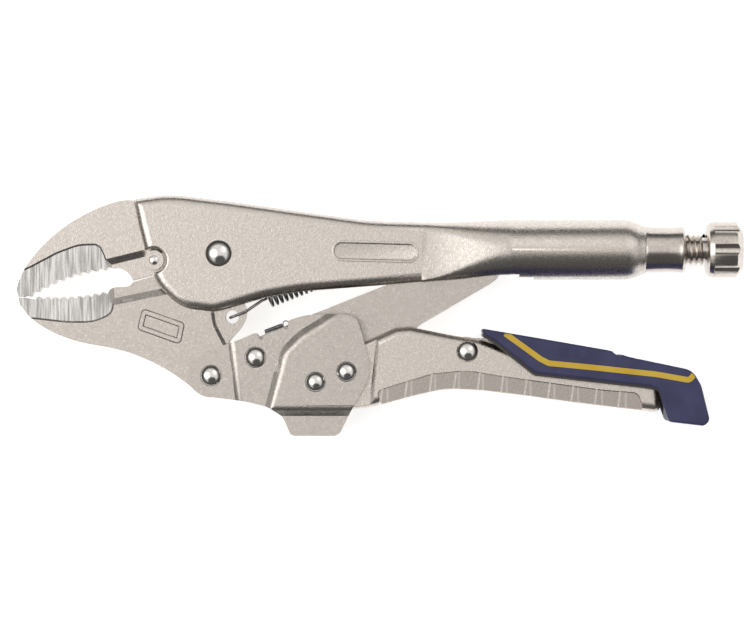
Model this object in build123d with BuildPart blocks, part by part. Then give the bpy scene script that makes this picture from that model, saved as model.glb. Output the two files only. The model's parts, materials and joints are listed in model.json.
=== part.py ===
from build123d import *
import math
import os

# Locking pliers of the 250 mm class, with curved jaws, a wire cutter and a release lever.
# Lengths are in millimetres. The tool lies on its side: +X runs from the jaw tips to the
# adjusting knob, +Y from the lower handle to the upper handle, +Z out of the side on top.
# Profiles are drawn in the tool's middle plane and measured from the main jaw pivot.

os.makedirs("parts", exist_ok=True)

# ---------------------------------------------------------------- overall sizes
JAW_REACH = 69.8            # main pivot to the jaw tips
TAIL_REACH = 181.1          # main pivot to the end of the knob
CROWN = 20.2                # main pivot up to the crown of the upper handle
KEEL = 62.9                 # main pivot down to the underside of the control frame

# ---------------------------------------------------------------- thicknesses and clearances
JAW_THICK = 11.5            # forged jaws
HANDLE_SHEET = 2.2          # upper handle
FRAME_SHEET = 2.0           # control frame
LEVER_SHEET = 2.0           # lower handle
LINK_SHEET = 2.2            # toggle link
LINK_GAP = 0.75             # toggle link to the inside of the upper handle, each side
SIDE_GAP = 0.25             # between flat faces that slide on each other
PIN_GAP = 0.05              # radial running clearance on a rivet
FRONT_JOGGLE = 1.0          # step of the frame between its front and its link rivet
REAR_JOGGLE = 1.6           # step of the frame over the lower handle
HANDLE_JOGGLE = 0.8         # step of the lower handle behind the frame
PAD_RAISE = 0.5             # ribbed band along the lower handle
GRIP_GAP = 0.3              # grip to ribbed band
CORE_WALL = 1.2             # stiff inner moulding of the grip
COVER_WALL = 1.5            # soft outer moulding of the grip

# Half widths, counted from the middle plane.
jaw_half = JAW_THICK / 2
channel_in = jaw_half + SIDE_GAP
channel_out = channel_in + HANDLE_SHEET
front_in = jaw_half + SIDE_GAP
mid_in = front_in + FRONT_JOGGLE
rear_in = mid_in + REAR_JOGGLE
lever_front_out = rear_in
lever_rear_out = lever_front_out + HANDLE_JOGGLE
pad_out = lever_rear_out + PAD_RAISE
core_in = pad_out + GRIP_GAP
core_out = core_in + CORE_WALL
cover_out = core_out + COVER_WALL
link_out = channel_in - LINK_GAP

# ---------------------------------------------------------------- pivots and rivets
JAW_RIVET = (-2.66, -42.09)         # lower jaw to control frame
LINK_RIVET = (12.73, -35.78)        # toggle link to control frame
FRAME_RIVETS = [(33.40, -44.23), (44.09, -40.71)]
RELEASE_RIVET = (85.66, -33.74)
JAW_PIN = (-22.32, -2.35)
SPRING_HOLE = (4.55, -21.94)
SPRING_HOLE_R = 2.3
SPRING_ANCHOR = (60.0, 1.0)
LINK_TIP = (106.0, 0.0)             # centre of the link's rounded tip
LINK_TIP_R = 3.6
LINK_TIP_OUT = 4.0                  # the link narrows to this half width inside the tube
NOSE_GAP = 1.9                      # link tip to screw nose, where the linkage is opened

MAIN_SHANK_R = 3.4
MAIN_HEAD_R = 4.5
MAIN_DOME = 1.9
SHANK_R = 2.6
JAW_HEAD_R = 3.7
FRAME_HEAD_R = 3.5
DOME = 1.8
PIN_R = 1.6
PIN_DOME = 0.5

# ---------------------------------------------------------------- tube, bush and screw
SCREW_Y = 1.35              # axis of tube and screw
TUBE_R = 10.4
BLEND_START = 70.0          # the flat sides swell into the tube from here
TUBE_START = 101.0
THROAT_END = 104.0          # the handle is open underneath up to here
SLOT_END = 109.0            # and has a slot for the tip of the link up to here
SEAM_HALF = 0.7             # open seam under the tube
KNOB_LENGTH = 12.6
THREAD_SHOWN = 7.3          # bare thread between bush and knob
NECK_LENGTH = 13.8          # bush behind the tube
SHOULDER_LENGTH = 6.9       # the tube is spun down to the neck over this length
BUSH_LENGTH = 14.5          # bush ahead of the shoulder, inside the tube
NECK_R = 8.0
WAIST_R = 6.9               # mouth of the tube, where the bush passes through
THREAD_R = 5.55             # 7/16 in thread
THREAD_DEPTH = 1.0
BUSH_GAP = 0.08
KNOB_R = 9.85
KNOB_COLLAR = 2.6
FLUTES = 8
FLUTE_R = 2.4
FLUTE_CUT = 1.1
HEX_ACROSS = 6.35
HEX_DEPTH = 7.0
NOSE_R = 4.2
NOSE_LENGTH = 8.0

knob_start = TAIL_REACH - KNOB_LENGTH
neck_end = knob_start - THREAD_SHOWN
tube_end = neck_end - NECK_LENGTH
shoulder_x = tube_end - SHOULDER_LENGTH
bush_front = shoulder_x - BUSH_LENGTH
nose_x = LINK_TIP[0] + LINK_TIP_R + NOSE_GAP

# ---------------------------------------------------------------- placing
pivot_x = (JAW_REACH - TAIL_REACH) / 2
pivot_y = (KEEL - CROWN) / 2
middle_z = cover_out
MIDDLE = Plane(origin=(pivot_x, pivot_y, middle_z), x_dir=(1, 0, 0), z_dir=(0, 0, 1))
SCREW_AXIS = Axis((pivot_x, pivot_y + SCREW_Y, middle_z), (1, 0, 0))
FAR = 60.0                  # reach of a cut that goes right through


def level(height):
    """Drawing plane parallel to the middle plane, height above it."""
    return MIDDLE.offset(height)


def finish(item, label):
    """Label a finished piece and write it."""
    item.part.label = label
    export_step(item.part, "parts/" + label + ".step")


def rounded(corners):
    """Closed outline with a radius at each corner (x, y, radius), limited by the runs beside it."""
    radii = []
    count = len(corners)
    for index, (x, y, wanted) in enumerate(corners):
        before = Vector(corners[index - 1][0] - x, corners[index - 1][1] - y)
        after_point = corners[(index + 1) % count]
        after = Vector(after_point[0] - x, after_point[1] - y)
        half_turn = math.radians(180 - before.get_angle(after)) / 2
        room = 0.49 * min(before.length, after.length) / max(math.tan(half_turn), 1e-6)
        radii.append(min(wanted, room))
    return FilletPolyline([(x, y) for x, y, wanted in corners], radius=radii, close=True)


def both_sides(corners, half, mode=Mode.ADD, taper=0.0):
    """Slab with a rounded outline, half thick on each side of the middle plane."""
    with BuildSketch(MIDDLE) as face:
        with BuildLine():
            rounded(corners)
        make_face()
    extrude(face.sketch, amount=half, both=True, mode=mode, taper=taper)


def lands(corners, base, rise, taper, inset=0.0):
    """Matching lands on both sides, from base outwards by rise, with walls sloping by taper.

    Their outline is drawn at the corners and then taken in by inset.
    """
    doubled_area = sum(
        corners[index - 1][0] * corners[index][1] - corners[index][0] * corners[index - 1][1]
        for index in range(len(corners))
    )
    if doubled_area < 0:
        corners = corners[::-1]     # a clockwise outline would be extruded inwards
    with BuildPart() as pair:
        with BuildSketch(level(base)) as face:
            with BuildLine():
                rounded(corners)
            make_face()
            if inset:
                offset(amount=-inset, mode=Mode.REPLACE)
        extrude(face.sketch, amount=rise, taper=taper)
        mirror(about=MIDDLE)
    return pair.part


def bore(places, radius):
    """Round holes right through the current part, square to the middle plane."""
    with BuildSketch(MIDDLE) as face:
        with Locations(*places):
            Circle(radius)
    extrude(face.sketch, amount=FAR, both=True, mode=Mode.SUBTRACT)


def turned(profile, mode=Mode.ADD):
    """Solid of revolution about the screw axis from (x, radius) points of its profile."""
    points = [(x, SCREW_Y + radius) for x, radius in profile]
    with BuildSketch(MIDDLE) as face:
        with BuildLine():
            Polyline(points, close=True)
        make_face()
    revolve(face.sketch, axis=SCREW_AXIS, mode=mode)


def dome_head(place, head, base, dome, side):
    """Domed rivet head of radius head on the face at height base, on one side."""
    sphere_r = (head ** 2 + dome ** 2) / (2 * dome)
    half_rise = dome - sphere_r + math.sqrt(sphere_r ** 2 - head ** 2 / 4)
    upright = Plane(
        origin=(pivot_x + place[0], pivot_y + place[1], middle_z),
        x_dir=(1, 0, 0),
        z_dir=(0, -1, 0),
    )
    with BuildSketch(upright) as face:
        with BuildLine():
            Line((0, side * base), (head, side * base))
            ThreePointArc(
                (head, side * base),
                (head / 2, side * (base + half_rise)),
                (0, side * (base + dome)),
            )
            Line((0, side * (base + dome)), (0, side * base))
        make_face()
    revolve(face.sketch, axis=Axis(upright.origin, (0, 0, 1)))


def rivet(places, shank, head, half_grip, dome):
    """Separate rivets through half_grip on both sides, with domed heads."""
    with BuildPart() as piece:
        for place in places:
            with BuildSketch(MIDDLE) as face:
                with Locations(place):
                    Circle(shank)
            extrude(face.sketch, amount=half_grip, both=True)
            for side in (1, -1):
                dome_head(place, head, half_grip, dome, side)
    return piece


def tooth_row(start, end, count, depth, bulge):
    """Points of a toothed edge from start to end; bulge bows the row at its middle."""
    run_x = end[0] - start[0]
    run_y = end[1] - start[1]
    length = math.hypot(run_x, run_y)
    points = []
    for step in range(2 * count + 1):
        share = step / (2 * count)
        lift = bulge * math.sin(math.pi * share) + (depth if step % 2 else 0.0)
        points.append((
            start[0] + run_x * share - run_y / length * lift,
            start[1] + run_y * share + run_x / length * lift,
        ))
    return points


# ================================================================ upper handle
# Sheet folded over its top into a channel, rolled into a tube at the rear.
HANDLE_BEND = 3.4
HANDLE_ROLL = 0.9           # rounding of the cut edges of the side plates
LUG_R = 3.4                 # boss of the fixed jaw round its pin
LUG_RAISE = 1.5
LUG_GAP = 0.8               # hollow of the handle's front edge round that boss
SIDE_TOP = 10.8             # edges of the flat sides where the handle begins to swell
SIDE_LOW = -9.9
SWELL_SEAT = 0.03           # the swelling part starts this far inside the flat sides
SWELL_STEPS = (0.0, 0.22, 0.70, 1.0)            # how round the handle is, at even steps along X
SWELL_DIP = (0.0, 0.2, 0.1, 0.0)                # hollow of its back between those steps
SWELL_LIFT = (0.0, 0.6, 0.4, 0.0)               # and the rise of its underside
throat_high = SCREW_Y + math.sqrt((TUBE_R - HANDLE_SHEET) ** 2 - channel_in ** 2)
crown_line = [
    (-17.5, CROWN + 0.42, 60), (4.0, 18.0, 60), (28.0, 14.6, 150), (52.0, 11.3, 80),
]
handle_outline = [(-29.9, 18.7, 1.2)] + crown_line + [
    (BLEND_START, SIDE_TOP, 0), (BLEND_START, SIDE_LOW, 0), (54.0, -11.3, 80),
    (28.0, -13.3, 60), (16.0, -15.4, 40), (-1.0, -20.4, 12), (-13.0, -19.0, 14), (-21.5, -11.0, 16),
    (-25.8, 1.0, 30), (-27.8, 9.0, 30),
]
cavity_outline = (
    [(-45.0, CROWN - HANDLE_SHEET, 0)]
    + [(x, y - HANDLE_SHEET, radius) for x, y, radius in crown_line]
    + [(BLEND_START, SIDE_TOP - HANDLE_SHEET, 0), (THROAT_END, throat_high, 0)]
    + [(THROAT_END, -FAR, 0), (-45.0, -FAR, 0)]
)


def cross_section(x, half, top, low, top_radius, low_radius):
    """Section of the handle square to its length at x, with rounded corners."""
    across = Plane(origin=(pivot_x + x, pivot_y, middle_z), x_dir=(0, 1, 0), z_dir=(1, 0, 0))
    with BuildSketch(across) as face:
        with BuildLine():
            FilletPolyline(
                [(low, -half), (top, -half), (top, half), (low, half)],
                radius=[low_radius, top_radius, top_radius, low_radius],
                close=True,
            )
        make_face()
    return face.sketch


def swell(wall):
    """The handle between its flat sides and its tube, wall inside its outer faces."""
    ring = TUBE_R - wall
    inset = wall + SWELL_SEAT
    flat = (
        channel_out - inset, SIDE_TOP - inset, SIDE_LOW + inset, HANDLE_BEND - wall / 2,
        HANDLE_ROLL + wall / 2,
    )
    round_end = (ring, SCREW_Y + ring, SCREW_Y - ring, 0.98 * ring, 0.98 * ring)
    sections = []
    for step, (share, dip, lift) in enumerate(zip(SWELL_STEPS, SWELL_DIP, SWELL_LIFT)):
        x = BLEND_START + (TUBE_START - BLEND_START) * step / (len(SWELL_STEPS) - 1)
        half, top, low, top_r, low_r = [a + (b - a) * share for a, b in zip(flat, round_end)]
        sections.append(cross_section(x, half, top - dip, low + lift, top_r, low_r))
    with BuildPart() as body:
        loft(sections)
    return body.part


with BuildPart() as upper_handle:
    both_sides(handle_outline, channel_out)
    crown_edges = [
        edge for edge in upper_handle.edges()
        if abs(abs(edge.center().Z - middle_z) - channel_out) < 0.01
        and edge.center().Y - pivot_y > 8.0
    ]
    fillet(crown_edges, HANDLE_BEND)
    with BuildSketch(MIDDLE) as scallop:
        with Locations(JAW_PIN):
            Circle(LUG_R + LUG_GAP)
        with Locations((JAW_PIN[0] - 5.0, JAW_PIN[1] - 1.0)):
            Rectangle(10.0, 6.0)
    extrude(scallop.sketch, amount=FAR, both=True, mode=Mode.SUBTRACT)
    cut_edges = [
        edge for edge in upper_handle.edges()
        if abs(abs(edge.center().Z - middle_z) - channel_out) < 0.01
        and (edge.center().Y - pivot_y < -5.0 or edge.center().X - pivot_x < -15.0)
        and edge.center().Y - pivot_y < 14.0
    ]
    fillet(cut_edges, HANDLE_ROLL)
    add(swell(0.0))
    turned([
        (TUBE_START, 0), (TUBE_START, TUBE_R), (shoulder_x, TUBE_R), (shoulder_x + 1.8, TUBE_R - 0.25),
        (shoulder_x + 3.6, TUBE_R - 0.85), (shoulder_x + 5.4, TUBE_R - 1.7), (tube_end, NECK_R + 0.15),
        (tube_end, 0),
    ])
    both_sides(cavity_outline, channel_in, mode=Mode.SUBTRACT)
    add(swell(HANDLE_SHEET), mode=Mode.SUBTRACT)
    turned([
        (TUBE_START, 0), (TUBE_START, TUBE_R - HANDLE_SHEET), (shoulder_x, TUBE_R - HANDLE_SHEET),
        (shoulder_x + 2.0, WAIST_R), (tube_end, WAIST_R), (tube_end, 0),
    ], mode=Mode.SUBTRACT)
    with BuildSketch(Plane.XZ.offset(-pivot_y - SCREW_Y)) as seam:
        for start, stop, half in (
            (THROAT_END - 1.0, shoulder_x + 3.0, SEAM_HALF),
            (THROAT_END - 1.0, SLOT_END, LINK_TIP_OUT + SIDE_GAP),
        ):
            with Locations((pivot_x + (start + stop) / 2, middle_z)):
                Rectangle(stop - start, 2 * half)
    extrude(seam.sketch, amount=FAR, mode=Mode.SUBTRACT)
    bore([(0, 0)], MAIN_SHANK_R)
finish(upper_handle, "upper_handle")

main_rivet = rivet([(0, 0)], MAIN_SHANK_R, MAIN_HEAD_R, channel_out, MAIN_DOME)
finish(main_rivet, "main_pivot_rivet")

jaw_pin = rivet([JAW_PIN], PIN_R, PIN_R, jaw_half + LUG_RAISE, PIN_DOME)
finish(jaw_pin, "fixed_jaw_pin")

# ================================================================ jaws
TIP_GAP = 0.12              # half the gap between the closed jaw tips
HUB_R = 10.4                # lower jaw round the main rivet
TOOTH_DEPTH = 1.15
UPPER_TEETH = 10
LOWER_TEETH = 9
FACE_DEPTH = 0.5            # the toothed faces are ground this far below the sides
FACE_SLOPE = 50.0
CUTTER_DEPTH = 1.3          # the wire cutter is hollow ground below the sides
CUTTER_SLOPE = 61.0
PANEL_RAISE = 0.45          # blank panel with a raised rim on the lower jaw
PANEL_RIM = 1.0
PANEL_SLOPE = 40.0
TAB_DROP = 1.0              # the lower jaw is thinner round its spring hole
TAB_SLOPE = 50.0
tip_y = -15.1


def from_tip(distance):
    """Place along X at distance behind the jaw tips."""
    return distance - JAW_REACH


teeth_front = from_tip(3.2)
upper_teeth = tooth_row((teeth_front, tip_y + 0.4), (from_tip(31.6), -4.6), UPPER_TEETH, -TOOTH_DEPTH, 2.0)
lower_teeth = tooth_row((from_tip(6.2), tip_y - 0.9), (from_tip(31.2), -14.2), LOWER_TEETH, TOOTH_DEPTH, -0.9)
upper_face = [
    (from_tip(-4.0), -7.6, 0), (from_tip(3.4), -5.7, 20), (from_tip(14.2), 0.0, 30),
    (from_tip(21.3), 2.6, 12), (from_tip(28.4), 2.9, 3), (from_tip(31.1), -3.6, 2),
    (from_tip(31.4), -12.0, 0), (from_tip(-4.0), -18.0, 0),
]
lower_face = [
    (from_tip(-4.0), -22.0, 0), (from_tip(4.4), -21.9, 20), (from_tip(17.8), -23.4, 40),
    (from_tip(26.8), -23.3, 14), (from_tip(32.8), -20.4, 4), (from_tip(33.3), -15.0, 2),
    (from_tip(31.8), -10.0, 0), (from_tip(-4.0), -10.0, 0),
]
upper_cutter = [
    (-37.0, -3.9, 0), (-18.0, 0.7, 0), (-12.0, -8.0, 0), (-30.0, -12.0, 0), (-37.4, -9.0, 0),
]
lower_cutter = [
    (-36.0, -15.4, 0), (-18.0, -11.8, 0), (-14.0, -8.0, 0), (-22.0, -4.0, 0), (-36.4, -8.0, 0),
]
panel_corners = [(-26.4, -18.8, 1.6), (-11.6, -24.0, 1.6), (-13.2, -31.6, 1.6), (-28.3, -26.2, 1.6)]
tab_zone = [
    (-1.6, -8.0, 0), (-1.6, -20.0, 6), (-1.0, -24.4, 8), (3.4, -32.8, 0), (18.0, -32.8, 0), (18.0, -8.0, 0),
]

fixed_jaw_back = [
    (-28.0, 18.0), (-32.5, 18.35), (from_tip(31.3), 16.9), (from_tip(24.0), 13.7),
    (from_tip(15.5), 8.45), (from_tip(7.6), 1.2), (from_tip(2.3), -6.1), (-JAW_REACH, -12.2),
]
with BuildPart() as fixed_jaw:
    with BuildSketch(MIDDLE) as jaw_face:
        with BuildLine():
            Spline(fixed_jaw_back)
            Polyline([fixed_jaw_back[-1], (from_tip(0.6), tip_y + TIP_GAP), (from_tip(2.2), tip_y + TIP_GAP)])
            Polyline([(from_tip(2.2), tip_y + TIP_GAP)] + upper_teeth)
            Line(upper_teeth[-1], (-36.6, -5.2))
            Spline([(-36.6, -5.2), (-33.2, -5.5), (-30.6, -7.6), (-29.7, -9.3)])
            Polyline([(-29.7, -9.3), (-22.8, -7.4), (-14.2, -6.2)])
            ThreePointArc((-14.2, -6.2), (-(HUB_R + 0.6), 2.0), (-6.0, 12.6))
            Polyline([(-6.0, 12.6), (-6.0, 16.8), (-28.0, 18.0)])
        make_face()
    extrude(jaw_face.sketch, amount=jaw_half, both=True)
    add(lands(upper_face, jaw_half - FACE_DEPTH, FACE_DEPTH, -FACE_SLOPE), mode=Mode.SUBTRACT)
    add(lands(upper_cutter, jaw_half - CUTTER_DEPTH, CUTTER_DEPTH, -CUTTER_SLOPE), mode=Mode.SUBTRACT)
    with BuildSketch(MIDDLE) as lug:
        with Locations(JAW_PIN):
            Circle(LUG_R)
    extrude(lug.sketch, amount=jaw_half + LUG_RAISE, both=True)
    bore([JAW_PIN], PIN_R)
finish(fixed_jaw, "fixed_jaw")

with BuildPart() as lower_jaw:
    with BuildSketch(MIDDLE) as jaw_face:
        with BuildLine():
            Polyline([
                (from_tip(2.2), tip_y - TIP_GAP), (from_tip(0.5), tip_y - TIP_GAP),
                (from_tip(1.2), -17.8), (from_tip(4.0), -21.4),
            ])
            Spline([
                (from_tip(4.0), -21.4), (from_tip(10.8), -26.3), (from_tip(23.3), -30.9),
                (-35.4, -33.0), (-24.4, -36.8), (-16.1, -41.3), (-8.6, -46.9),
            ])
            ThreePointArc((-8.6, -46.9), (-1.5, -49.6), (4.6, -44.0))
            Spline([(4.6, -44.0), (4.9, -38.0), (3.3, -31.0), (5.6, -28.0), (9.3, -22.6), (8.6, -17.2)])
            Spline([(8.6, -17.2), (8.4, -12.0), (HUB_R, 0.0)], tangents=[(0, 1), (0, 1)])
            ThreePointArc((HUB_R, 0.0), (-2.0, math.sqrt(HUB_R ** 2 - 4.0)), (-9.6, -4.0))
            Polyline([(-9.6, -4.0), (-14.0, -8.2), (-22.8, -7.9), (-29.7, -9.9)])
            Spline([(-29.7, -9.9), (-31.6, -11.4), (-35.9, -11.7), (-37.6, -12.6)])
            Line((-37.6, -12.6), lower_teeth[-1])
            Polyline(lower_teeth)
            Line(lower_teeth[0], (from_tip(2.2), tip_y - TIP_GAP))
        make_face()
    extrude(jaw_face.sketch, amount=jaw_half, both=True)
    add(lands(lower_face, jaw_half - FACE_DEPTH, FACE_DEPTH, -FACE_SLOPE), mode=Mode.SUBTRACT)
    add(lands(lower_cutter, jaw_half - CUTTER_DEPTH, CUTTER_DEPTH, -CUTTER_SLOPE), mode=Mode.SUBTRACT)
    add(lands(tab_zone, jaw_half - TAB_DROP, TAB_DROP, -TAB_SLOPE), mode=Mode.SUBTRACT)
    add(lands(panel_corners, jaw_half, PANEL_RAISE, PANEL_SLOPE))
    add(lands(panel_corners, jaw_half, PANEL_RAISE, -PANEL_SLOPE, inset=2 * PANEL_RIM), mode=Mode.SUBTRACT)
    bore([(0, 0)], MAIN_SHANK_R + PIN_GAP)
    bore([JAW_RIVET], SHANK_R + PIN_GAP)
    bore([SPRING_HOLE], SPRING_HOLE_R)
finish(lower_jaw, "lower_jaw")

# ================================================================ control frame
frame_outline = [
    (3.4, -31.0, 1.5), (-5.2, -34.4, 3), (-10.0, -38.6, 5), (-10.0, -46.2, 6), (-5.4, -49.2, 4),
    (9.0, -51.0, 20), (17.0, -52.9, 10), (22.2, -56.4, 5), (24.9, -KEEL, 2), (41.4, -KEEL, 3),
    (45.6, -54.4, 20), (51.6, -43.4, 10), (52.0, -38.4, 10), (49.4, -27.6, 20), (47.4, -21.6, 4),
    (39.4, -20.9, 20), (30.0, -21.2, 20), (24.2, -23.0, 1), (23.9, -26.6, 0.8), (22.2, -25.6, 0.6),
    (15.6, -28.4, 1), (15.0, -30.4, 1), (12.7, -27.3, 1.2), (7.6, -29.6, 10),
]
front_step = [
    (2.2, -18.0, 0), (3.3, -31.0, 30), (5.9, -52.0, 0), (8.1, -FAR - 10, 0), (80.0, -FAR - 10, 0),
    (80.0, -18.0, 0),
]
rear_step = [
    (41.0, -18.0, 0), (35.0, -22.3, 12), (27.4, -27.0, 12), (20.9, -33.4, 10), (19.4, -40.0, 30),
    (15.7, -54.0, 0), (11.4, -FAR - 10, 0), (80.0, -FAR - 10, 0), (80.0, -18.0, 0),
]
FOOT_LINE = -56.0           # below this line the frame closes in to its foot
FOOT_DROP = 2.2
FOOT_SLOPE = 50.0
JOGGLE_SLOPE = 57.0
FRONT_BEND = 3.0            # outside bends at the tops of the two joggles
REAR_BEND = 3.2
FRAME_FRONT_X = -5.0        # the front bend is rolled from here back to MID_FRAME_X
MID_FRAME_X = 12.0          # the front joggle lies ahead of this, the rear one behind it
FRONT_BEND_LOW = -53.0      # and from here up to BEND_TOP
BEND_TOP = -20.6
joggle_back = FRAME_SHEET * math.tan(math.radians(90 - JOGGLE_SLOPE) / 2)


def shifted(corners, step):
    """The same outline moved step along X."""
    return [(x + step, y, radius) for x, y, radius in corners]


def field(edge, low):
    """A field from x = -30 to edge, wider than the frame, down to low."""
    return [(-30.0, -10.0, 0), (-30.0, low, 0), (edge, low, 0), (edge, -10.0, 0)]


def step_edges(slab, height, west, east, south):
    """Edges along the steps of a slab, at height from the middle plane, inside a window."""
    return [
        edge for edge in slab.edges()
        if abs(abs(edge.center().Z - middle_z) - height) < 0.01
        and west < edge.center().X - pivot_x < east
        and south < edge.center().Y - pivot_y < BEND_TOP
    ]


def stepped_slab(grow, back, bends=()):
    """Slab whose half width rises at the two joggles, grow wider than the inside of the frame."""
    foot_top = FOOT_LINE + back
    foot_zone = [(-40.0, foot_top, 0), (90.0, foot_top, 0), (90.0, -2 * FAR, 0), (-40.0, -2 * FAR, 0)]
    with BuildPart() as slab:
        both_sides(field(64.0, -FAR - 10), front_in + grow)
        for corners, base, rise in (
            (front_step, front_in, FRONT_JOGGLE),
            (rear_step, mid_in, REAR_JOGGLE),
        ):
            both_sides(shifted(corners, back), base + grow)
            add(lands(shifted(corners, back), base + grow, rise, JOGGLE_SLOPE))
        add(lands(foot_zone, rear_in + grow - FOOT_DROP, FOOT_DROP, -FOOT_SLOPE), mode=Mode.SUBTRACT)
        for height, west, east, south, radius in bends:
            fillet(step_edges(slab, height, west, east, south), radius)
    return slab.part


frame_inside = [
    (-30.0, -10.0, 0), (-30.0, -FAR - 10, 0), (-10.0, -FAR - 10, 0), (24.0, -KEEL + FRAME_SHEET, 0),
    (60.0, -KEEL + FRAME_SHEET, 0), (60.0, -10.0, 0),
]
frame_bends = [
    (rear_in + FRAME_SHEET, MID_FRAME_X, FAR, FOOT_LINE, REAR_BEND),
    (mid_in + FRAME_SHEET, FRAME_FRONT_X, MID_FRAME_X, FRONT_BEND_LOW, FRONT_BEND),
]
with BuildPart() as control_frame:
    both_sides(frame_outline, FAR)
    add(stepped_slab(FRAME_SHEET, 0.0, frame_bends), mode=Mode.INTERSECT)
    with BuildPart(mode=Mode.PRIVATE) as hollow:
        both_sides(frame_inside, FAR)
        add(stepped_slab(0.0, joggle_back), mode=Mode.INTERSECT)
    add(hollow.part, mode=Mode.SUBTRACT)
    bore([JAW_RIVET, LINK_RIVET] + FRAME_RIVETS, SHANK_R)
finish(control_frame, "control_frame")

jaw_frame_rivet = rivet([JAW_RIVET], SHANK_R, JAW_HEAD_R, front_in + FRAME_SHEET, DOME)
finish(jaw_frame_rivet, "jaw_frame_rivet")
link_rivet = rivet([LINK_RIVET], SHANK_R, JAW_HEAD_R, mid_in + FRAME_SHEET, DOME)
finish(link_rivet, "link_rivet")
frame_rivets = rivet(FRAME_RIVETS, SHANK_R, FRAME_HEAD_R, rear_in + FRAME_SHEET, DOME)
finish(frame_rivets, "frame_rivets")
release_rivet = rivet([RELEASE_RIVET], SHANK_R, JAW_HEAD_R, lever_rear_out, DOME)
finish(release_rivet, "release_rivet")

WASHER_R = 5.4
with BuildPart() as link_washers:
    for side in (1, -1):
        with BuildSketch(level(side * (link_out + PIN_GAP * 2))):
            with Locations(LINK_RIVET):
                Circle(WASHER_R)
                Circle(SHANK_R, mode=Mode.SUBTRACT)
        extrude(amount=side * (mid_in - link_out - PIN_GAP * 2))
finish(link_washers, "link_washers")

# ================================================================ toggle link
link_outline = [
    (7.2, -36.0, 5), (9.8, -30.4, 5), (30.8, -21.6, 60), (58.4, -10.6, 60), (96.0, 2.6, 6),
    (97.0, -8.2, 6), (93.6, -10.6, 8), (69.5, -24.7, 5), (62.0, -31.5, 10), (17.6, -41.6, 5), (9.4, -42.4, 5),
]
link_tip = [
    (90.0, 1.6, 0), (102.0, LINK_TIP_R, 3), (LINK_TIP[0] + LINK_TIP_R, LINK_TIP_R, LINK_TIP_R),
    (LINK_TIP[0] + LINK_TIP_R, -LINK_TIP_R, LINK_TIP_R), (102.0, -LINK_TIP_R, 3), (90.0, -9.0, 0),
]
with BuildPart() as toggle_link:
    both_sides(link_outline, link_out)
    both_sides(link_tip, LINK_TIP_OUT)
    slot = [
        (0.0, -30.0, 0), (9.0, -37.0, 0), (16.0, -39.2, 4), (61.0, -29.0, 6), (69.0, -22.0, 6),
        (92.0, -8.6, 4), (98.0, -1.5, 3), (98.0, 12.0, 0), (0.0, 12.0, 0),
    ]
    both_sides(slot, link_out - LINK_SHEET, mode=Mode.SUBTRACT)
    bore([LINK_RIVET], SHANK_R + PIN_GAP)
finish(toggle_link, "toggle_link")

# ================================================================ lower handle
LEVER_END = 152.2
LEVER_BEND = 3.0
lever_top = [
    (50.3, -30.6, 3), (61.0, -25.6, 4), (66.0, -25.2, 6), (80.0, -28.0, 30), (90.0, -29.6, 8),
    (97.0, -31.9, 20), (110.0, -34.9, 30), (130.0, -39.5, 60), (148.0, -43.8, 30),
    (LEVER_END, -44.8, 1.5),
]
lever_under = [
    (LEVER_END, -54.9, 2.0), (138.4, -53.3, 60), (121.9, -51.3, 80), (105.3, -49.0, 60),
    (90.4, -47.2, 30), (78.0, -46.6, 30), (66.0, -49.4, 20), (52.0, -53.2, 30), (46.0, -53.8, 10),
    (38.0, -52.6, 10), (30.0, -50.5, 6),
]
lever_front = [(27.0, -45.0, 5), (31.0, -38.4, 4), (44.0, -31.0, 4)]
STEP_LINE = 54.6            # the lower handle widens behind the frame
front_zone = [
    (10.0, -10.0, 0), (STEP_LINE + 1.6, -10.0, 0), (STEP_LINE - 2.2, -48.0, 0),
    (STEP_LINE - 2.6, -FAR, 0), (10.0, -FAR, 0),
]
lever_web = [(x, y + LEVER_SHEET, radius) for x, y, radius in lever_under[1:]]
web_rear = lever_under[0][1] + LEVER_SHEET + 0.3
narrow_hollow = (
    [(FAR * 3, -10.0, 0), (FAR * 3, web_rear, 0)] + lever_web + [(10.0, -45.0, 0), (10.0, -10.0, 0)]
)
wide_hollow = (
    [(FAR * 3, -10.0, 0), (FAR * 3, web_rear, 0)]
    + [corner for corner in lever_web if corner[0] > STEP_LINE + 8.0]
    + [(STEP_LINE + 3.0, -48.0, 0), (STEP_LINE + 4.4, -10.0, 0)]
)
RIB_PITCH = 8.2
RIBS = 12
RIB_WIDTH = 0.7
RIB_DEPTH = 0.35
pad_top = [
    (54.2, -47.4, 2), (61.0, -45.2, 20), (73.5, -41.4, 20), (85.5, -40.2, 30), (96.7, -42.1, 20),
    (115.3, -44.7, 60), (132.4, -47.0, 60), (144.6, -47.9, 3),
]
pad_under = [(146.6, -54.2, 1)] + lever_under[1:7] + [(56.0, -52.2, 1)]
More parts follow.
